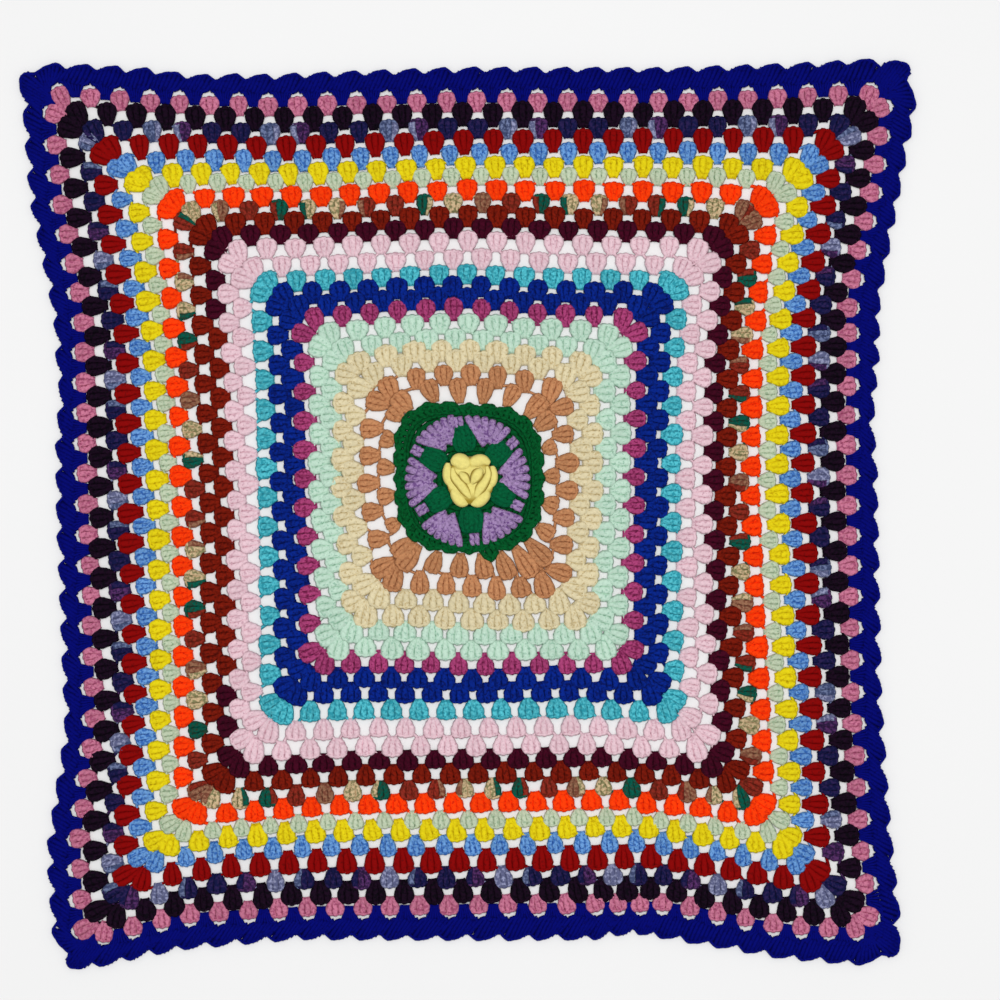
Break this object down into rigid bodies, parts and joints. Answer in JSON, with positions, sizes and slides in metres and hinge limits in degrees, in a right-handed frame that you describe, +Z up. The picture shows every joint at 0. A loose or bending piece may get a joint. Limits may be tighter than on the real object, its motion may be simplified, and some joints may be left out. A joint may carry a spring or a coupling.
{
  "type": "granny square blanket",
  "caption": "Square crocheted blanket worked outwards in rounds of stitch clusters, with open gaps, a scalloped hem and a raised rose on a round centre motif.",
  "frame": {"origin": "centre of the blanket's bounding box on its underside", "axes": "+Z up out of the blanket's face, +Y towards the top side in the picture, +X to the right"},
  "size_m": [0.7618, 0.771, 0.0167],
  "materials": {
    "mixed_yarn": "matte worsted yarn, many colours by round",
    "green_yarn": "matte worsted yarn, dark green with purple fans",
    "rose_yarn": "matte worsted yarn, soft yellow"
  },
  "bodies": {
    "root": {"granny_square": "mixed_yarn", "rose_motif": "green_yarn", "rose": "rose_yarn"}
  },
  "joints": []
}
